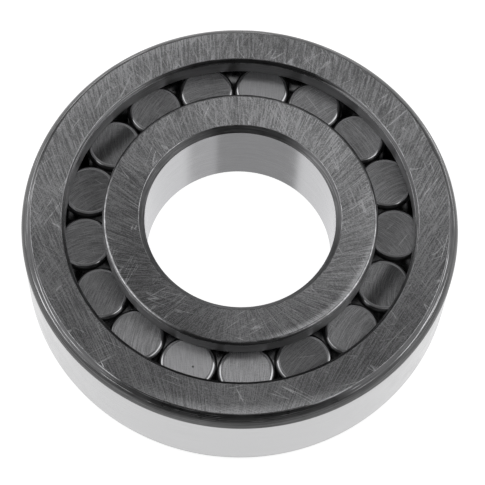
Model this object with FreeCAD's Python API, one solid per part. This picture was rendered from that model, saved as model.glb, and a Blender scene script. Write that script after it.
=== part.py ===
"""Full-complement cylindrical roller bearing, 35 x 80 x 21 mm.

Millimetres.  The origin is on the bearing's axis at the middle of its width, and +Z points
along the axis towards the side where the inner ring has its rib.  Each piece is one solid in
its own file: the outer ring with two integral ribs, the inner ring with one integral rib, and
seventeen rollers that fill the space between them, with no cage.
"""

import FreeCAD, Part
import math
import os

# Boundary dimensions of the bearing
bore_radius = 17.5
outside_radius = 40.0
width = 21.0

# Rollers
roller_count = 17
roller_radius = 5.25
roller_length = 13.0
roller_edge_radius = 1.0
gap_between_rollers = 0.03
gap_at_raceway = 0.02
gap_at_roller_end = 0.03

# Ribs, given by the radius of the wall that faces the other ring
outer_rib_radius = 32.0
inner_rib_radius = 25.2
outer_rib_chamfer = 0.65
inner_rib_chamfer = 0.48
rib_lower_chamfer = 0.2

# Corners: radial size, then axial size
outside_corner = (1.8, 2.6)
outside_corner_bulge = 0.4
bore_chamfer = (1.05, 1.25)
bore_lead_in = (2.0, 3.5)
raceway_lead_in = (0.5, 1.8)

# Relief groove in each raceway at the foot of each rib
groove_width = 0.9
groove_depth = 0.3

# Places that follow from the dimensions above
half_width = width / 2
pitch_radius = (roller_radius + gap_between_rollers / 2) / math.sin(math.pi / roller_count)
inner_raceway_radius = pitch_radius - roller_radius - gap_at_raceway
outer_raceway_radius = pitch_radius + roller_radius + gap_at_raceway
rib_plane = roller_length / 2 + gap_at_roller_end


def at(radius, height):
    """Point of a ring's half section."""
    return FreeCAD.Vector(radius, 0, height)


def straight(points):
    """Straight edges from each point to the next."""
    return [Part.LineSegment(at(*a), at(*b)).toShape() for a, b in zip(points, points[1:])]


def bulged(start, end, bulge):
    """Arc from start to end whose middle stands off the chord, to the right of its direction."""
    run = end[0] - start[0]
    rise = end[1] - start[1]
    length = math.hypot(run, rise)
    middle_radius = (start[0] + end[0]) / 2 + bulge * rise / length
    middle_height = (start[1] + end[1]) / 2 - bulge * run / length
    return [Part.Arc(at(*start), at(middle_radius, middle_height), at(*end)).toShape()]


def turned(edges):
    """Solid of revolution about the bearing's axis from the edges of a closed half section.

    Stretches of one wall that meet at the middle of the width are joined into one face.
    """
    section = Part.Face(Part.Wire(edges))
    solid = section.revolve(FreeCAD.Vector(0, 0, 0), FreeCAD.Vector(0, 0, 1), 360)
    return solid.removeSplitter()


def make_outer_ring():
    """Outer ring: raceway between two ribs, the same above and below the middle."""

    def rib_and_corner(side):
        """Edges from the raceway round one rib to the outside wall; side is 1 above, -1 below."""
        groove_start = (outer_raceway_radius, side * (rib_plane - groove_width))
        groove_end = (outer_raceway_radius, side * rib_plane)
        face_edge = (outside_radius - outside_corner[0], side * half_width)
        wall_edge = (outside_radius, side * (half_width - outside_corner[1]))
        edges = straight([(outer_raceway_radius, 0), groove_start])
        edges += bulged(groove_start, groove_end, side * groove_depth)
        edges += straight([
            groove_end,
            (outer_rib_radius + rib_lower_chamfer, side * rib_plane),
            (outer_rib_radius, side * (rib_plane + rib_lower_chamfer)),
            (outer_rib_radius, side * (half_width - outer_rib_chamfer)),
            (outer_rib_radius + outer_rib_chamfer, side * half_width),
            face_edge,
        ])
        edges += bulged(face_edge, wall_edge, -side * outside_corner_bulge)
        edges += straight([wall_edge, (outside_radius, 0)])
        return edges

    below = [edge.reversed() for edge in reversed(rib_and_corner(-1))]
    return turned(rib_and_corner(1) + below)


def make_inner_ring():
    """Inner ring: one rib at the top, and a raceway that runs out over the lower edge."""
    groove_start = (inner_raceway_radius, rib_plane)
    groove_end = (inner_raceway_radius, rib_plane - groove_width)
    edges = straight([
        (bore_radius, half_width - bore_chamfer[1]),
        (bore_radius + bore_chamfer[0], half_width),
        (inner_rib_radius - inner_rib_chamfer, half_width),
        (inner_rib_radius, half_width - inner_rib_chamfer),
        (inner_rib_radius, rib_plane + rib_lower_chamfer),
        (inner_rib_radius - rib_lower_chamfer, rib_plane),
        groove_start,
    ])
    edges += bulged(groove_start, groove_end, groove_depth)
    edges += straight([
        groove_end,
        (inner_raceway_radius, raceway_lead_in[1] - half_width),
        (inner_raceway_radius - raceway_lead_in[0], -half_width),
        (bore_radius + bore_lead_in[0], -half_width),
        (bore_radius, bore_lead_in[1] - half_width),
        (bore_radius, half_width - bore_chamfer[1]),
    ])
    return turned(edges)


def make_roller(number):
    """Roller with rounded end edges, centred on the pitch circle; the first lies on +X."""
    angle = 2 * math.pi * (number - 1) / roller_count
    foot = FreeCAD.Vector(
        pitch_radius * math.cos(angle),
        pitch_radius * math.sin(angle),
        -roller_length / 2,
    )
    roller = Part.makeCylinder(roller_radius, roller_length, foot, FreeCAD.Vector(0, 0, 1))
    end_edges = [edge for edge in roller.Edges if isinstance(edge.Curve, Part.Circle)]
    return roller.makeFillet(roller_edge_radius, end_edges)


pieces = {"outer_ring": make_outer_ring(), "inner_ring": make_inner_ring()}
for number in range(1, roller_count + 1):
    pieces["roller_%02d" % number] = make_roller(number)

os.makedirs("parts", exist_ok=True)
for name, solid in pieces.items():
    solid.exportStep("parts/%s.step" % name)
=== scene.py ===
"""Looks for a full-complement cylindrical roller bearing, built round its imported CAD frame.

Metres, in the CAD frame: +Z is the bearing's axis, the origin is at the middle of its width.
The textures work in millimetres.
"""

import math

import bmesh
import bpy
from mathutils import Matrix, Vector


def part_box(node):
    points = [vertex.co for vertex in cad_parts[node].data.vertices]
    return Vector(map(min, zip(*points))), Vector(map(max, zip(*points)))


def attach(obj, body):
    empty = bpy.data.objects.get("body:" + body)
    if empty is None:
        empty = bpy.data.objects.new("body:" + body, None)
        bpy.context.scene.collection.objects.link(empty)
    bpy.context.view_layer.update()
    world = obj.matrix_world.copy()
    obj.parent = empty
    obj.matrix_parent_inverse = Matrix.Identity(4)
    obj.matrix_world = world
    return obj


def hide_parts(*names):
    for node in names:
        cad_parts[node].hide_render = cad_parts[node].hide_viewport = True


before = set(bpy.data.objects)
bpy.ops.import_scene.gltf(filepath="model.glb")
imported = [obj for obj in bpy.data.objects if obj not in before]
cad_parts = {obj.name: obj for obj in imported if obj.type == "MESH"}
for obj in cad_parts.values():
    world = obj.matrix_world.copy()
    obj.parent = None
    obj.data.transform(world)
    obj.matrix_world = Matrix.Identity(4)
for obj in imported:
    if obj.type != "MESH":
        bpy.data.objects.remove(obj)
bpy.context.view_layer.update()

MM = 0.001

# Sizes read from the frame
_, outer_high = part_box("outer_ring")
_, inner_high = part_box("inner_ring")
roller_low, roller_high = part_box("roller_01")
outside_radius = outer_high.y
half_width = outer_high.z
inner_rib_radius = inner_high.y
roller_radius = (roller_high.y - roller_low.y) / 2
roller_half_length = roller_high.z
pitch_radius = (roller_low.x + roller_high.x) / 2
roller_names = sorted(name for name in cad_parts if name.startswith("roller_"))

# Sizes of the section that the boxes don't give; corners are radial size, then axial size
bore_radius = 17.5 * MM
raceway_gap = 0.02 * MM
rib_plane = roller_half_length + 0.03 * MM
inner_raceway_radius = pitch_radius - roller_radius - raceway_gap
outer_raceway_radius = pitch_radius + roller_radius + raceway_gap
outer_rib_radius = 32.0 * MM
outer_rib_chamfer = 0.65 * MM
inner_rib_chamfer = 0.48 * MM
rib_lower_chamfer = 0.2 * MM
outside_corner = (1.8 * MM, 2.6 * MM)
outside_corner_bulge = 0.4 * MM
bore_chamfer = (1.05 * MM, 1.25 * MM)
bore_lead_in = (2.0 * MM, 3.5 * MM)
raceway_lead_in = (0.5 * MM, 1.8 * MM)
groove_width = 0.9 * MM
groove_depth = 0.3 * MM
roller_edge_radius = 1.0 * MM

# Tool lines on the outside corner: how many, how deep, and their share of the corner
tool_lines = 4
tool_line_depth = 0.016 * MM
tool_lined_share = 0.42

# Radii that the edges are worn to, and the narrow flat kept beside each round
crisp_edge = 0.05 * MM
worn_edge = 0.18 * MM
worn_rib_edge = 0.46 * MM
support_loop = 0.04 * MM

# How finely the meshes are turned
ring_segments = 320
roller_segments = 112
edge_steps = 4
groove_steps = 10
outside_corner_steps = 44
roller_edge_steps = 12
roller_glint_steps = 4


# ---------------------------------------------------------------- sections

def rounded(corners, edge_zone):
    """Section points from corners (radius, height, edge round, zone), closed.

    The zone is the material of the stretch that follows the corner.  Each rounded corner is an
    arc in edge_zone between two support points, so that the flats beside it keep their own
    normals.
    """
    points = []
    count = len(corners)
    for index, (radius, height, edge_round, zone) in enumerate(corners):
        here = Vector((radius, height))
        if edge_round == 0:
            points.append((here, zone))
            continue
        before = corners[index - 1]
        after = corners[(index + 1) % count]
        back = (Vector(before[:2]) - here).normalized()
        ahead = (Vector(after[:2]) - here).normalized()
        half_angle = back.angle(ahead) / 2
        reach = edge_round / math.tan(half_angle)
        centre = here + (back + ahead).normalized() * edge_round / math.sin(half_angle)
        start = here + back * reach
        end = here + ahead * reach
        points.append((here + back * (reach + support_loop), before[3]))
        for step in range(edge_steps + 1):
            chord = start.lerp(end, step / edge_steps) - centre
            step_zone = edge_zone if step < edge_steps else zone
            points.append((centre + chord.normalized() * edge_round, step_zone))
        points.append((here + ahead * (reach + support_loop), zone))
    return points


def run_back(points, last_zone):
    """The same points in the opposite order.

    The last item of a point is the zone of the stretch that follows it, so run the other way
    each stretch takes the zone of the point before it, and the last one takes last_zone.
    """
    zones = [last_zone] + [point[-1] for point in points[:-1]]
    return [(*point[:-1], zone) for point, zone in zip(reversed(points), reversed(zones))]


def groove_points(start, end, depth, zone):
    """Corners along a relief groove from start to end, cut to the left of that direction."""
    start = Vector(start)
    end = Vector(end)
    run = end - start
    across = Vector((-run.y, run.x)).normalized()
    corners = []
    for step in range(groove_steps + 1):
        share = step / groove_steps
        place = start + run * share + across * depth * math.sin(math.pi * share)
        corners.append((place.x, place.y, 0, zone))
    return corners


def turned_corner(start, end, bulge, zone_face_side, zone_wall_side):
    """Corners along the turned outside corner, from the face edge to the wall edge.

    The first part carries a few tool lines, as shallow steps across the surface.
    """
    start = Vector(start)
    end = Vector(end)
    run = end - start
    side = 1 if start.y > 0 else -1
    outward = Vector((abs(run.y), abs(run.x) * side)).normalized()
    edge_rounds = {0: worn_edge, outside_corner_steps: crisp_edge}
    corners = []
    for step in range(outside_corner_steps + 1):
        share = step / outside_corner_steps
        place = start + run * share + outward * bulge * (1 - (2 * share - 1) ** 2)
        if 0 < share < tool_lined_share:
            wave = math.cos(2 * math.pi * tool_lines * share / tool_lined_share)
            place -= outward * tool_line_depth * (0.5 - 0.5 * wave)
        zone = zone_face_side if share < tool_lined_share else zone_wall_side
        corners.append((place.x, place.y, edge_rounds.get(step, 0), zone))
    return corners


def lathe(name, points, segments, materials, closed):
    """Mesh turned about the Z axis from section points (place, zone).

    The section is closed, or else it starts and ends on the axis.
    """
    on_axis = 1e-9
    mesh = bpy.data.meshes.new(name)
    build = bmesh.new()
    rings = []
    for place, _ in points:
        if place.x < on_axis:
            rings.append([build.verts.new((0, 0, place.y))])
            continue
        rings.append([
            build.verts.new((
                place.x * math.cos(2 * math.pi * turn / segments),
                place.x * math.sin(2 * math.pi * turn / segments),
                place.y,
            ))
            for turn in range(segments)
        ])
    last = len(points) if closed else len(points) - 1
    for index in range(last):
        near = rings[index]
        far = rings[(index + 1) % len(rings)]
        for turn in range(segments):
            following = (turn + 1) % segments
            corners = [near[turn % len(near)], near[following % len(near)]]
            corners += [far[following % len(far)], far[turn % len(far)]]
            # On the axis two corners are the same point, and the face is a triangle
            corners = list(dict.fromkeys(corners))
            face = build.faces.new(corners)
            face.material_index = points[index][1]
            face.smooth = True
    bmesh.ops.recalc_face_normals(build, faces=build.faces)
    build.to_mesh(mesh)
    build.free()
    for material in materials:
        mesh.materials.append(material)
    piece = bpy.data.objects.new(name, mesh)
    bpy.context.scene.collection.objects.link(piece)
    return piece


# ---------------------------------------------------------------- shader helpers

class Graph:
    """A node tree with short calls for the nodes used below."""

    def __init__(self, tree):
        self.tree = tree

    def node(self, kind, inputs=(), **settings):
        """New node; inputs maps a socket's name or number to a value or to a socket to link."""
        made = self.tree.nodes.new(kind)
        for name, value in settings.items():
            setattr(made, name, value)
        for key, value in dict(inputs).items():
            if isinstance(value, bpy.types.NodeSocket):
                self.tree.links.new(value, made.inputs[key])
            else:
                made.inputs[key].default_value = value
        return made

    def math(self, operation, *values):
        return self.node("ShaderNodeMath", enumerate(values), operation=operation).outputs[0]

    def plus(self, first, second):
        return self.math("ADD", first, second)

    def minus(self, first, second):
        return self.math("SUBTRACT", first, second)

    def times(self, first, second):
        return self.math("MULTIPLY", first, second)

    def larger(self, first, second):
        return self.math("MAXIMUM", first, second)

    def smaller(self, first, second):
        return self.math("MINIMUM", first, second)

    def blend(self, first, second, second_share):
        """Sum of two values, weighted by the share of the second."""
        return self.plus(self.times(first, 1 - second_share), self.times(second, second_share))

    def vector(self, operation, first, second=(0, 0, 0)):
        made = self.node("ShaderNodeVectorMath", {0: first, 1: second}, operation=operation)
        gives_number = operation in ("DOT_PRODUCT", "LENGTH", "DISTANCE")
        return made.outputs["Value" if gives_number else "Vector"]

    def moved(self, vector, offset):
        return self.vector("ADD", vector, offset)

    def scaled(self, vector, factor):
        made = self.node("ShaderNodeVectorMath", {0: vector, "Scale": factor}, operation="SCALE")
        return made.outputs["Vector"]

    def rotated(self, vector, angle):
        """Vector turned about the Z axis."""
        inputs = {"Vector": vector, "Angle": angle}
        return self.node("ShaderNodeVectorRotate", inputs, rotation_type="Z_AXIS").outputs[0]

    def split(self, vector):
        made = self.node("ShaderNodeSeparateXYZ", {0: vector})
        return made.outputs[0], made.outputs[1], made.outputs[2]

    def joined(self, x, y, z):
        return self.node("ShaderNodeCombineXYZ", {0: x, 1: y, 2: z}).outputs[0]

    def mix(self, share, first, second):
        return self.node("ShaderNodeMix", {0: share, 2: first, 3: second}).outputs[0]

    def ramp(self, value, low, high, to_low=0.0, to_high=1.0):
        """Smooth step of value from low to high, given out between to_low and to_high."""
        made = self.node(
            "ShaderNodeMapRange",
            {"Value": value, "From Min": low, "From Max": high, "To Min": to_low, "To Max": to_high},
            interpolation_type="SMOOTHSTEP",
        )
        return made.outputs["Result"]

    def noise(self, vector, scale, detail=2.0, roughness=0.5):
        made = self.node(
            "ShaderNodeTexNoise",
            {"Vector": vector, "Scale": scale, "Detail": detail, "Roughness": roughness},
        )
        return made.outputs[0]

    def object_mm(self):
        """Object coordinates in millimetres."""
        return self.scaled(self.node("ShaderNodeTexCoord").outputs["Object"], 1 / MM)

    def level(self, vector):
        """Unit vector of a vector's part in the XY plane."""
        x, y, _ = self.split(vector)
        return self.vector("NORMALIZE", self.joined(x, y, 0.0))


def compass(degrees):
    """Unit vector in the XY plane at an angle from +X."""
    return (math.cos(math.radians(degrees)), math.sin(math.radians(degrees)), 0)


def towards(graph, level, azimuth, half_angle, fade, most=1.0):
    """Up to most where a level direction is within half_angle of an azimuth, all in degrees."""
    facing = graph.vector("DOT_PRODUCT", level, compass(azimuth))
    outer = math.cos(math.radians(half_angle + fade))
    inner = math.cos(math.radians(max(half_angle - fade, 0)))
    return graph.ramp(facing, outer, inner, 0.0, most)


def grey(graph, value):
    """Colour of steel: grey with a trace of blue."""
    blue_share = 1.012
    blue = graph.times(value, blue_share)
    return graph.node("ShaderNodeCombineColor", {0: value, 1: value, 2: blue}).outputs[0]


def new_material(name):
    """A material with a principled shader; returns the material, its graph and the shader."""
    material = bpy.data.materials.new(name)
    material.use_nodes = True
    material.node_tree.nodes.clear()
    graph = Graph(material.node_tree)
    shader = graph.node("ShaderNodeBsdfPrincipled", {"Metallic": 1.0})
    output = graph.node("ShaderNodeOutputMaterial", {"Surface": shader.outputs[0]})
    output.target = "ALL"
    return material, graph, shader


def wire_steel(graph, shader, tone, roughness, relief, relief_depth, tangent, stretch):
    """Wires a steel's textures into its shader; stretch draws the highlights along tangent."""
    bump = graph.node("ShaderNodeBump", {"Strength": 1.0, "Distance": relief_depth, "Height": relief})
    textures = {
        "Base Color": grey(graph, tone),
        "Roughness": roughness,
        "Normal": bump.outputs[0],
        "Tangent": tangent,
    }
    for name, socket in textures.items():
        graph.tree.links.new(socket, shader.inputs[name])
    shader.inputs["Anisotropic"].default_value = stretch


def fan_streaks(graph, place, centre, fineness, run, seed, detail=4.0):
    """Noise drawn out along lines that spread from centre: fine across them, slow along them.

    fineness is per radian across the lines, and run is per mm along them.
    """
    roughness = 0.85
    x, y, _ = graph.split(place)
    flat = graph.joined(graph.minus(x, centre[0]), graph.minus(y, centre[1]), 0.0)
    distance = graph.vector("LENGTH", flat)
    direction = graph.scaled(graph.vector("NORMALIZE", flat), fineness)
    along = graph.joined(0.0, 0.0, graph.math("MULTIPLY_ADD", distance, run, seed))
    return graph.noise(graph.moved(direction, along), 1.0, detail, roughness)


def scratches(graph, place, centre, seed):
    """Sparse thin lines: where drawn-out noise crosses its middle value, kept in a few patches."""
    fineness = 26
    run = 0.03
    middle_value = 0.5
    line_range = (0.012, 0.004)
    patch_scale = 0.2
    patch_range = (0.52, 0.6)
    lines = fan_streaks(graph, place, centre, fineness, run, seed, 1.0)
    offset = graph.math("ABSOLUTE", graph.minus(lines, middle_value))
    thin = graph.ramp(offset, *line_range)
    patches = graph.noise(graph.moved(place, (seed, 0, 0)), patch_scale, 1.0)
    return graph.times(thin, graph.ramp(patches, *patch_range))


def single_scratches(graph, place, marks):
    """Straight scratches.

    Each mark is its middle x and y in mm, direction in degrees, length in mm, and depth.
    """
    half_thickness = (0.1, 0.03)
    total = None
    for x, y, heading, length, depth in marks:
        along = compass(heading)
        across = (-along[1], along[0], 0)
        offset = graph.vector("SUBTRACT", place, (x, y, half_width / MM))
        run = graph.math("ABSOLUTE", graph.vector("DOT_PRODUCT", offset, along))
        gap = graph.math("ABSOLUTE", graph.vector("DOT_PRODUCT", offset, across))
        line = graph.times(
            graph.ramp(gap, *half_thickness, 0.0, depth),
            graph.ramp(run, length / 2, length / 5),
        )
        total = line if total is None else graph.larger(total, line)
    return total


def across_fan(graph, place, centre):
    """Direction in the XY plane at right angles to the lines that spread from centre."""
    x, y, _ = graph.split(place)
    across = graph.minus(centre[1], y)
    back = graph.minus(x, centre[0])
    return graph.vector("NORMALIZE", graph.joined(across, back, 0.0))


# ---------------------------------------------------------------- steels

# The lightest tones, and how far highlights are drawn out across ground and turned lines
lightest_ground = 0.97
lightest_turned = 0.95
ground_stretch = 0.85
turned_stretch = 0.6


def ground_streaks(graph, place, fan_centre, cross_centres, fineness, seed):
    """Streaks that spread from fan_centre, with fainter ones that cross them.

    Two sets of crossing streaks take turns in patches, and show where they stand above the rest.
    """
    run = 0.2
    patch_scale = 0.09
    turn_range = (0.42, 0.58)
    faint_range = (0.4, 0.6)
    faintness = (0.02, 0.12)
    main = fan_streaks(graph, place, fan_centre, fineness, run, seed)
    crossing = [
        fan_streaks(graph, place, centre, fineness, run, seed + 7 + index)
        for index, centre in enumerate(cross_centres)
    ]
    turns = graph.noise(place, patch_scale, 1.0)
    cross = graph.mix(graph.ramp(turns, *turn_range), *crossing)
    patches = graph.noise(graph.moved(place, (31, 7, seed)), patch_scale, 1.0)
    weaker = graph.ramp(patches, *faint_range, *faintness)
    return graph.larger(main, graph.minus(cross, weaker))


def painted_light_by_side(graph, place, reach, painted_light_x, painted_light_y):
    """Painted light and shade: a factor on a face's tone that changes along X and along Y, up to
    reach, for how the light falls across the face.
    """
    x, y, _ = graph.split(place)
    return graph.plus(graph.ramp(x, -reach, reach, *painted_light_x), graph.ramp(y, -reach, reach, *painted_light_y))


def with_lighter_margin(graph, tone, place, streaks, margin_radius, margins):
    """Tone with the outer margin of a face made lighter in some stretches round the ring.

    Each stretch is its middle and half width in degrees, and how much lighter it is.
    """
    margin_starts = 0.945 * margin_radius
    streak_range = (0.35, 0.6)
    streak_shares = (0.4, 1.0)
    fade = 14
    x, y, _ = graph.split(place)
    radius = graph.vector("LENGTH", graph.joined(x, y, 0.0))
    margin = graph.ramp(radius, margin_starts, margin_radius)
    margin = graph.times(margin, graph.ramp(streaks, *streak_range, *streak_shares))
    for middle, half_angle, lighter in margins:
        near = towards(graph, graph.level(place), middle, half_angle, fade, lighter)
        tone = graph.plus(tone, graph.times(margin, near))
    return tone


def ground_face_steel(
    name, fan_centre, sheen_centre, cross_centres, fineness, seed, margin_radius,
    painted_light_x, painted_light_y, margins, marks,
):
    """Ground ring face: streaks that spread from a point, fainter crossing ones, scratches.

    The face's tone has painted light and shade across it: painted_light_x and painted_light_y are
    each a low and a high value.  The sheen spreads across the lines from sheen_centre.  Its
    margin, which ends at margin_radius, is lighter in the stretches that margins lists.  Centres
    and radii are in mm.
    """
    streak_range = (0.42, 0.61)
    tones = (0.26, 0.82)
    roughness_range = (0.42, 0.3)
    grain_scale = 4.5
    grain_share = 0.22
    grain_relief = 0.35
    scratch_relief = 0.5
    scratch_tone = 0.34
    cloud_scale = 0.07
    cloud_range = (0.3, 0.7)
    cloud_tones = (0.9, 1.08)
    relief_depth = 0.00004
    material, graph, shader = new_material(name)
    place = graph.object_mm()
    streaks = ground_streaks(graph, place, fan_centre, cross_centres, fineness, seed)
    grain = graph.noise(place, grain_scale, 1.0)
    scratch = graph.larger(
        scratches(graph, place, cross_centres[0], seed + 30),
        scratches(graph, place, cross_centres[1], seed + 41),
    )
    scratch = graph.larger(scratch, single_scratches(graph, place, marks))
    relief = graph.plus(streaks, graph.times(grain, grain_relief))
    relief = graph.minus(relief, graph.times(scratch, scratch_relief))

    tone = graph.ramp(graph.blend(streaks, grain, grain_share), *streak_range, *tones)
    cloud = graph.noise(place, cloud_scale, 1.0)
    tone = graph.times(tone, graph.ramp(cloud, *cloud_range, *cloud_tones))
    # Painted light and shade: the face is made lighter towards the sides where the light falls
    tone = graph.times(tone, painted_light_by_side(graph, place, margin_radius, painted_light_x, painted_light_y))
    tone = with_lighter_margin(graph, tone, place, streaks, margin_radius, margins)
    tone = graph.plus(tone, graph.times(scratch, scratch_tone))
    tone = graph.smaller(tone, lightest_ground)

    roughness = graph.ramp(streaks, *streak_range, *roughness_range)
    tangent = across_fan(graph, place, sheen_centre)
    wire_steel(graph, shader, tone, roughness, relief, relief_depth, tangent, ground_stretch)
    return material


def turned_steel(
    name, tones, roughness, lines_per_mm, relief_depth, seed, bright_lines=0.0, chipped=False,
):
    """Steel turned or ground round the axis: fine closed lines, faintly broken along their run.

    tones and roughness are each a low and a high value.  bright_lines is how much lighter the
    highest of the lines are worn.  A chipped edge is worn bright in short stretches.
    """
    break_scale = 3.0
    patch_scale = 0.25
    patch_share = 0.3
    tone_range = (0.3, 0.7)
    high_line_range = (0.58, 0.68)
    chip_scale = 0.8
    chip_range = (0.4, 0.62)
    chip_tones = (0.7, 1.2)
    wear_from_lines = 0.5
    wear_range = (0.5, 1.0)
    grain_scale = 6.0
    grain_relief = 0.3
    material, graph, shader = new_material(name)
    place = graph.object_mm()
    x, y, z = graph.split(place)
    flat = graph.joined(x, y, 0.0)
    radius = graph.vector("LENGTH", flat)
    direction = graph.scaled(graph.vector("NORMALIZE", flat), break_scale)
    section = graph.joined(0.0, graph.times(radius, lines_per_mm), graph.times(z, lines_per_mm))
    lines = graph.noise(graph.moved(graph.moved(direction, section), (seed, 0, 0)), 1.0, 3.0, 0.6)
    patches = graph.noise(place, patch_scale, 3.0, 0.6)
    grain = graph.noise(place, grain_scale, 2.0)
    tone = graph.ramp(graph.blend(lines, patches, patch_share), *tone_range, *tones)
    tone = graph.plus(tone, graph.ramp(lines, *high_line_range, 0.0, bright_lines))
    if chipped:
        chips = graph.noise(graph.moved(place, (0, seed, 0)), chip_scale, 4.0, 0.7)
        tone = graph.times(tone, graph.ramp(chips, *chip_range, *chip_tones))
    tone = graph.smaller(tone, lightest_turned)
    wear = graph.plus(patches, graph.times(lines, wear_from_lines))
    roughness = graph.ramp(wear, *wear_range, *roughness)
    relief = graph.plus(lines, graph.times(grain, grain_relief))
    tangent = graph.joined(0.0, 0.0, 1.0)
    wire_steel(graph, shader, tone, roughness, relief, relief_depth, tangent, turned_stretch)
    return material


def roller_end_steel(name, lean, bend, painted_lightness, painted_shade_band, cuts, pit, seed):
    """Ground roller end: fine lines at one angle, lean, gently curved by bend.

    painted_shade_band is the direction of a soft band of painted shade across the end, with
    painted light either side of it, or None.  cuts are single scratches, and pit is the place of
    a small dark pit in mm, or None.
    """
    lines_per_mm = 7.5
    line_run = 0.35
    hatch_per_mm = 6.0
    hatch_run = 0.5
    hatch_fainter = 0.1
    grain_scale = 6.0
    grain_share = 0.25
    tone_range = (0.4, 0.62)
    # Painted light and shade: painted_lightness scales the end's tones for how the light falls on this
    # roller's end
    tones = (0.36 * painted_lightness, min(0.8 * painted_lightness, 0.92))
    line_range = (0.36, 0.64)
    roughness_range = (0.4, 0.3)
    band_half_width = (0.3, 2.6)
    band_tones = (0.38, 1.25)
    cut_tone = 0.35
    pit_radius = (0.12, 0.26)
    pit_tones = (0.1, 1.0)
    relief_depth = 0.000016
    material, graph, shader = new_material(name)
    place = graph.object_mm()
    x, y, _ = graph.split(graph.rotated(place, -lean))
    bowed = graph.plus(y, graph.times(graph.times(x, x), bend))
    along_lines = graph.joined(graph.times(x, line_run), graph.times(bowed, lines_per_mm), seed)
    lines = graph.noise(along_lines, 1.0, 4.0, 0.7)
    along_hatch = graph.joined(graph.times(y, hatch_run), graph.times(x, hatch_per_mm), seed + 5)
    hatch = graph.noise(along_hatch, 1.0, 3.0, 0.65)
    grain = graph.noise(place, grain_scale, 2.0)
    marks = graph.larger(lines, graph.minus(hatch, hatch_fainter))
    relief = graph.plus(marks, graph.times(grain, grain_share))
    tone = graph.ramp(graph.blend(marks, grain, grain_share), *tone_range, *tones)
    # Painted shade: a soft dark band across the end, with painted light either side of it
    if painted_shade_band is not None:
        _, off_band, _ = graph.split(graph.rotated(place, -painted_shade_band))
        off_middle = graph.math("ABSOLUTE", off_band)
        tone = graph.times(tone, graph.ramp(off_middle, *band_half_width, *band_tones))
    if cuts:
        tone = graph.plus(tone, graph.times(single_scratches(graph, place, cuts), cut_tone))
        tone = graph.smaller(tone, lightest_ground)
    if pit:
        from_pit = graph.vector("DISTANCE", place, pit)
        tone = graph.times(tone, graph.ramp(from_pit, *pit_radius, *pit_tones))
    roughness = graph.ramp(lines, *line_range, *roughness_range)
    slope = graph.times(x, 2 * bend)
    tangent = graph.rotated(graph.joined(slope, 1.0, 0.0), lean)
    wire_steel(graph, shader, tone, roughness, relief, relief_depth, tangent, ground_stretch)
    return material


outer_face = ground_face_steel(
    "outer_face_steel",
    fan_centre=(0, -70),
    sheen_centre=(0, -70),
    cross_centres=((-60, -50), (70, -60)),
    fineness=290,
    seed=1.0,
    margin_radius=38.2,
    # Painted light and shade: the outer face is lighter towards the far side and the left
    painted_light_x=(0.31, 0.13),
    painted_light_y=(0.3, 0.9),
    margins=((125, 25, 0.3), (275, 22, 0.34)),
    marks=(
        (11.2, 33.5, 45, 5, 1.0), (13.0, 34.4, 38, 4, 0.8), (-16.3, 31.1, -56, 5, 1.0),
        (-2.4, 35.5, 100, 4, 0.9), (34.8, 8.2, 55, 7, 1.1), (34.0, 12.4, 42, 6, 0.9),
        (37.3, -4.0, 76, 8, 1.2), (36.5, -4.4, 50, 4, 1.0), (28.7, -22.0, 48, 12, 0.7),
        (1.8, -34.7, -60, 4, 1.1), (-36.0, 9.0, 45, 4, 1.0), (-31.5, 16.8, 60, 4, 1.2),
        (-29.9, 14.3, -55, 3, 1.4), (-27.2, -27.0, -35, 3, 2.0), (-22.6, -30.6, -60, 2, 2.0),
        (18.6, 29.0, 30, 4, 0.9), (-35.5, -12.0, 62, 5, 0.7), (-25.5, 24.6, 33, 5, 0.8),
    ),
)
inner_face = ground_face_steel(
    "inner_face_steel",
    fan_centre=(0, -12),
    sheen_centre=(0, -35),
    cross_centres=((-30, -40), (35, -30)),
    fineness=110,
    seed=50.0,
    margin_radius=24.7,
    # Painted light and shade: the inner face is lighter towards the far side and the right
    painted_light_x=(0.26, 0.6),
    painted_light_y=(0.17, 0.75),
    margins=((318, 26, 0.95),),
    marks=(
        (21.2, 3.5, 40, 5, 1.1), (-11.0, -16.2, -10, 6, 0.8), (-14.0, -16.0, 35, 5, 0.8),
        (-21.5, 7.0, -50, 3, 1.3), (17.6, 12.2, 20, 4, 0.7), (-0.4, -21.5, 40, 4, 0.8),
        (0.55, 18.9, 90, 1.2, 2.5),
    ),
)
chamfer_steel = turned_steel(
    "chamfer_steel", tones=(0.1, 0.22), roughness=(0.24, 0.34),
    lines_per_mm=6.0, relief_depth=0.00002, seed=3.0, bright_lines=0.4,
)
inner_rib_chamfer_steel = turned_steel(
    "inner_rib_chamfer_steel", tones=(0.12, 0.24), roughness=(0.3, 0.4),
    lines_per_mm=6.0, relief_depth=0.00002, seed=7.0, bright_lines=0.2,
)
bore_chamfer_steel = turned_steel(
    "bore_chamfer_steel", tones=(0.15, 0.33), roughness=(0.34, 0.44),
    lines_per_mm=4.0, relief_depth=0.00002, seed=5.0, bright_lines=0.2,
)
worn_edge_steel = turned_steel(
    "worn_edge_steel", tones=(0.3, 0.85), roughness=(0.2, 0.34),
    lines_per_mm=2.0, relief_depth=0.000012, seed=6.0, chipped=True,
)
corner_line_steel = turned_steel(
    "corner_line_steel", tones=(0.11, 0.21), roughness=(0.26, 0.36),
    lines_per_mm=4.0, relief_depth=0.000016, seed=9.0, bright_lines=1.0,
)
corner_steel = turned_steel(
    "corner_steel", tones=(0.05, 0.13), roughness=(0.26, 0.36),
    lines_per_mm=6.0, relief_depth=0.000016, seed=12.0, bright_lines=0.1,
)
outside_wall_steel = turned_steel(
    "outside_wall_steel", tones=(0.42, 0.5), roughness=(0.16, 0.24),
    lines_per_mm=5.0, relief_depth=0.000002, seed=20.0,
)
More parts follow.
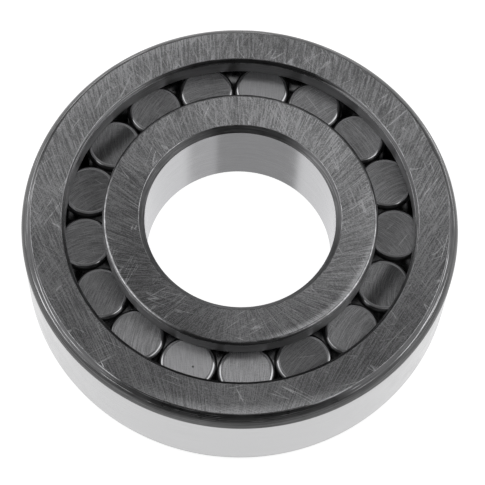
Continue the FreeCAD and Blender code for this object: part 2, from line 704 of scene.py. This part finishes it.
bore_wall_steel = turned_steel(
    "bore_wall_steel", tones=(0.54, 0.62), roughness=(0.13, 0.19),
    lines_per_mm=5.0, relief_depth=0.000003, seed=24.0,
)
raceway_steel = turned_steel(
    "raceway_steel", tones=(0.45, 0.58), roughness=(0.14, 0.22),
    lines_per_mm=4.0, relief_depth=0.000003, seed=28.0,
)
rib_wall_steel = turned_steel(
    "rib_wall_steel", tones=(0.24, 0.42), roughness=(0.46, 0.58),
    lines_per_mm=5.0, relief_depth=0.000012, seed=33.0,
)
roller_side_steel = turned_steel(
    "roller_side_steel", tones=(0.5, 0.62), roughness=(0.16, 0.24),
    lines_per_mm=4.0, relief_depth=0.000002, seed=40.0,
)
roller_glint_steel = turned_steel(
    "roller_glint_steel", tones=(0.58, 0.76), roughness=(0.14, 0.22),
    lines_per_mm=4.0, relief_depth=0.000004, seed=43.0,
)
roller_edge_steel = turned_steel(
    "roller_edge_steel", tones=(0.1, 0.2), roughness=(0.26, 0.36),
    lines_per_mm=5.0, relief_depth=0.000008, seed=47.0,
)


# ---------------------------------------------------------------- rings

def make_outer_ring():
    """Outer ring with two ribs and turned outside corners, the same above and below."""
    face, chamfer, rib_wall, raceway, corner_lines, corner, wall, edge = range(8)
    materials = [
        outer_face, chamfer_steel, rib_wall_steel, raceway_steel,
        corner_line_steel, corner_steel, outside_wall_steel, worn_edge_steel,
    ]

    def rib_and_corner(side):
        """Corners from the raceway round one rib to the outside wall; side is 1 above, -1 below."""
        groove_foot = (outer_raceway_radius, side * (rib_plane - groove_width))
        rib_foot = (outer_raceway_radius, side * rib_plane)
        face_edge = (outside_radius - outside_corner[0], side * half_width)
        wall_edge = (outside_radius, side * (half_width - outside_corner[1]))
        corners = groove_points(groove_foot, rib_foot, -side * groove_depth, raceway)
        corners[-1] = (*rib_foot, 0, rib_wall)
        corners += [
            (outer_rib_radius + rib_lower_chamfer, side * rib_plane, crisp_edge, rib_wall),
            (outer_rib_radius, side * (rib_plane + rib_lower_chamfer), crisp_edge, rib_wall),
            (outer_rib_radius, side * (half_width - outer_rib_chamfer), worn_edge, chamfer),
            (outer_rib_radius + outer_rib_chamfer, side * half_width, worn_edge, face),
        ]
        corners += turned_corner(face_edge, wall_edge, outside_corner_bulge, corner_lines, corner)
        return corners

    above = rib_and_corner(1)
    above[-1] = (*above[-1][:3], wall)
    below = run_back(rib_and_corner(-1), raceway)
    section = rounded(above + below, edge)
    piece = lathe("outer_ring_body", section, ring_segments, materials, True)
    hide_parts("outer_ring")
    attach(piece, "outer_ring")


def make_inner_ring():
    """Inner ring with one rib at the top and a raceway that runs out over its lower edge."""
    face, rib_chamfer, rib_wall, raceway, bore, bore_edge, edge = range(7)
    materials = [
        inner_face, inner_rib_chamfer_steel, rib_wall_steel, raceway_steel,
        bore_wall_steel, bore_chamfer_steel, worn_edge_steel,
    ]
    corners = [
        (bore_radius, half_width - bore_chamfer[1], crisp_edge, bore_edge),
        (bore_radius + bore_chamfer[0], half_width, worn_edge, face),
        (inner_rib_radius - inner_rib_chamfer, half_width, worn_rib_edge, rib_chamfer),
        (inner_rib_radius, half_width - inner_rib_chamfer, worn_edge, rib_wall),
        (inner_rib_radius, rib_plane + rib_lower_chamfer, crisp_edge, rib_wall),
        (inner_rib_radius - rib_lower_chamfer, rib_plane, crisp_edge, rib_wall),
    ]
    rib_foot = (inner_raceway_radius, rib_plane)
    groove_foot = (inner_raceway_radius, rib_plane - groove_width)
    corners += groove_points(rib_foot, groove_foot, -groove_depth, raceway)
    corners += [
        (inner_raceway_radius, raceway_lead_in[1] - half_width, crisp_edge, bore_edge),
        (inner_raceway_radius - raceway_lead_in[0], -half_width, crisp_edge, face),
        (bore_radius + bore_lead_in[0], -half_width, crisp_edge, bore_edge),
        (bore_radius, bore_lead_in[1] - half_width, crisp_edge, bore),
    ]
    section = rounded(corners, edge)
    piece = lathe("inner_ring_body", section, ring_segments, materials, True)
    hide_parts("inner_ring")
    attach(piece, "inner_ring")


# ---------------------------------------------------------------- rollers

# For each roller in turn: the angle of the grinding lines on its end in degrees, how much they
# bend, and a factor on the end's tone that is painted light and shade, for how the light falls
# on each end
roller_ends = [
    (-40, 0.05, 0.98), (35, 0.05, 0.84), (-50, 0.02, 1.07), (40, 0.02, 1.04), (90, 0.0, 2.1),
    (20, 0.02, 1.28), (60, 0.02, 0.7), (100, 0.04, 0.6), (30, 0.05, 0.68), (20, 0.04, 0.92),
    (70, 0.02, 0.68), (80, 0.02, 1.0), (98, 0.0, 1.9), (90, 0.0, 1.26), (50, 0.02, 0.6),
    (60, 0.03, 0.84), (80, 0.05, 0.6),
]
# Rollers with a band of painted shade across the end: direction of the band in degrees
painted_shade_bands = {"roller_08": 48, "roller_17": 60}
# Single scratches on the ends of some rollers, as for single_scratches
roller_cuts = {
    "roller_01": ((1.4, -1.2, 55, 4, 1.3), (-1.0, 1.4, 48, 3, 0.9)),
    "roller_03": ((0.6, 1.0, -45, 4, 1.0),),
    "roller_04": ((-0.6, 0.6, -52, 5, 1.1), (1.4, -1.0, 40, 3.5, 1.0)),
    "roller_09": ((1.6, 1.8, -30, 2, 1.0),),
    "roller_15": ((0.5, 0.5, 12, 4, 0.6),),
}
# Small dark pits, in mm from the roller's middle
roller_pits = {"roller_13": (0.95, -0.75, roller_half_length / MM)}


def roller_section():
    """Open section of a roller from the middle of one end to the middle of the other."""
    end, side, glint, edge = range(4)
    flat_radius = roller_radius - roller_edge_radius
    flat_shares = (0, 0.35, 0.7, 0.95)
    upper = [(Vector((share * flat_radius, roller_half_length)), end) for share in flat_shares]
    for step in range(roller_edge_steps + 1):
        angle = math.pi / 2 * step / roller_edge_steps
        place = Vector((
            roller_radius - roller_edge_radius * (1 - math.sin(angle)),
            roller_half_length - roller_edge_radius * (1 - math.cos(angle)),
        ))
        zone = glint if step < roller_glint_steps else edge
        upper.append((place, zone if step < roller_edge_steps else side))
    upper.append((upper[-1][0] - Vector((0, support_loop)), side))
    lower = [(Vector((place.x, -place.y)), zone) for place, zone in run_back(upper, end)]
    return upper + lower


def make_rollers():
    """The rollers, each on its own body, with its own grinding lines on its ends."""
    seed_step = 11.3
    section = roller_section()
    for number, name in enumerate(roller_names):
        lean, bend, painted_lightness = roller_ends[number]
        band = math.radians(painted_shade_bands[name]) if name in painted_shade_bands else None
        end_steel = roller_end_steel(
            "%s_end_steel" % name, math.radians(lean), bend, painted_lightness, band,
            roller_cuts.get(name, ()), roller_pits.get(name), number * seed_step,
        )
        materials = [end_steel, roller_side_steel, roller_glint_steel, roller_edge_steel]
        piece = lathe("%s_body" % name, section, roller_segments, materials, False)
        low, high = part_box(name)
        piece.location = (low + high) / 2
        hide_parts(name)
        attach(piece, name)


# ---------------------------------------------------------------- studio

def make_camera():
    """Camera on the -Y side, high above the bearing, with a long lens."""
    elevation = math.radians(65.895)
    azimuth = math.radians(0.371)
    roll = math.radians(2.913)
    distance = 366.9 * MM
    target = Vector((0.63, -5.35, 0)) * MM
    turn = Matrix.Rotation(azimuth, 3, "Z")
    back = turn @ Vector((0, -math.cos(elevation), math.sin(elevation)))
    level = turn @ Vector((1, 0, 0))
    rise = back.cross(level)
    right = level * math.cos(roll) + rise * math.sin(roll)
    up = rise * math.cos(roll) - level * math.sin(roll)
    data = bpy.data.cameras.new("camera")
    data.lens = 150.4
    data.sensor_width = 36
    data.clip_start = 0.01
    data.clip_end = 20
    camera = bpy.data.objects.new("camera", data)
    bpy.context.scene.collection.objects.link(camera)
    place = turn @ target + Vector((0, 0, half_width)) + back * distance
    camera.matrix_world = Matrix.Translation(place) @ Matrix((right, up, back)).transposed().to_4x4()
    bpy.context.scene.camera = camera


def soft_box(graph, direction, azimuth, half_angle, low, high):
    """Soft-edged patch of sky round an azimuth, between two elevations, all in degrees."""
    fade = 9
    _, _, z = graph.split(direction)
    wide = towards(graph, graph.level(direction), azimuth, half_angle, fade)
    above = graph.ramp(z, math.sin(math.radians(low - fade)), math.sin(math.radians(low + fade)))
    below = graph.ramp(z, math.sin(math.radians(high + fade)), math.sin(math.radians(high - fade)))
    return graph.times(wide, graph.times(above, below))


def glow_below(graph, direction):
    """Light that comes up through the bore: dim from the front, half dim beside that, else bright."""
    dim = 0.34
    half_dim = 0.53
    bright = 0.84
    horizon_fade = (0.0, -0.1)
    _, _, z = graph.split(direction)
    level = graph.level(direction)
    wide = towards(graph, level, azimuth=270, half_angle=68, fade=8)
    narrow = towards(graph, level, azimuth=252, half_angle=50, fade=4)
    light = graph.minus(bright, graph.times(wide, bright - half_dim))
    light = graph.minus(light, graph.times(narrow, half_dim - dim))
    return graph.times(light, graph.ramp(z, *horizon_fade))


def make_studio_light():
    """Dim room with a soft box at each side and a gentle light from behind and above."""
    room = 0.036
    behind_strength = 0.12
    overhead_strength = 0.08
    overhead_fade = (0.75, 0.98)
    backdrop = 0.93
    world = bpy.data.worlds.new("studio")
    bpy.context.scene.world = world
    world.use_nodes = True
    world.node_tree.nodes.clear()
    graph = Graph(world.node_tree)
    direction = graph.node("ShaderNodeTexCoord").outputs["Generated"]
    left = soft_box(graph, direction, azimuth=183, half_angle=38, low=2, high=54)
    right = soft_box(graph, direction, azimuth=-2, half_angle=38, low=12, high=62)
    behind = soft_box(graph, direction, azimuth=90, half_angle=70, low=5, high=80)
    _, _, z = graph.split(direction)
    overhead = graph.ramp(z, *overhead_fade)
    light = graph.plus(graph.plus(left, room), right)
    light = graph.plus(light, graph.times(behind, behind_strength))
    light = graph.plus(light, graph.times(overhead, overhead_strength))
    light = graph.plus(light, glow_below(graph, direction))
    lit = graph.node("ShaderNodeBackground", {"Color": grey(graph, light), "Strength": 1.0})
    pale = (backdrop, backdrop, backdrop, 1)
    seen = graph.node("ShaderNodeBackground", {"Color": pale, "Strength": 1.0})
    camera_ray = graph.node("ShaderNodeLightPath").outputs["Is Camera Ray"]
    mixed = graph.node("ShaderNodeMixShader", {0: camera_ray, 1: lit.outputs[0], 2: seen.outputs[0]})
    graph.node("ShaderNodeOutputWorld", {"Surface": mixed.outputs[0]})


def make_floor():
    """Pale light table under the bearing.

    It doesn't glow where a ring lies on it, and glows weakly under the rollers.  Light for the
    bore passes it from the glow below, which the world gives by direction.
    """
    half_size = 1.5
    height = -half_width - 0.02 * MM
    under_rollers = 0.2
    tone = 0.3
    material = bpy.data.materials.new("light_table")
    material.use_nodes = True
    material.node_tree.nodes.clear()
    graph = Graph(material.node_tree)
    x, y, _ = graph.split(graph.object_mm())
    radius = graph.vector("LENGTH", graph.joined(x, y, 0.0))
    outside = graph.ramp(radius, 37.0, 40.0)
    past_inner_ring = graph.ramp(radius, 23.5, 24.5)
    short_of_outer_ring = graph.ramp(radius, 33.0, 32.0)
    in_bore = graph.ramp(radius, 19.0, 17.5)
    seen_in_bore = graph.ramp(radius, 22.0, 21.0)
    between_rings = graph.times(past_inner_ring, short_of_outer_ring)
    glow = graph.plus(outside, graph.times(between_rings, under_rollers))
    seen = graph.plus(outside, seen_in_bore)
    camera_ray = graph.node("ShaderNodeLightPath").outputs["Is Camera Ray"]
    strength = graph.mix(camera_ray, glow, seen)
    emission = graph.node("ShaderNodeEmission", {"Color": (1, 1, 1, 1), "Strength": strength})
    diffuse = graph.node("ShaderNodeBsdfDiffuse", {"Color": (tone, tone, tone, 1)})
    both = graph.node("ShaderNodeAddShader", {0: emission.outputs[0], 1: diffuse.outputs[0]})
    clear = graph.node("ShaderNodeBsdfTransparent")
    hole = graph.times(in_bore, graph.minus(1.0, camera_ray))
    surface = graph.node("ShaderNodeMixShader", {0: hole, 1: both.outputs[0], 2: clear.outputs[0]})
    graph.node("ShaderNodeOutputMaterial", {"Surface": surface.outputs[0]})
    corners = [(x_side * half_size, y_side * half_size, height)
               for x_side, y_side in ((-1, -1), (1, -1), (1, 1), (-1, 1))]
    mesh = bpy.data.meshes.new("floor")
    mesh.from_pydata(corners, [], [(0, 1, 2, 3)])
    mesh.materials.append(material)
    floor = bpy.data.objects.new("floor", mesh)
    bpy.context.scene.collection.objects.link(floor)


make_camera()
make_studio_light()
make_floor()
make_outer_ring()
make_inner_ring()
make_rollers()
bpy.context.scene.view_settings.view_transform = "Standard"
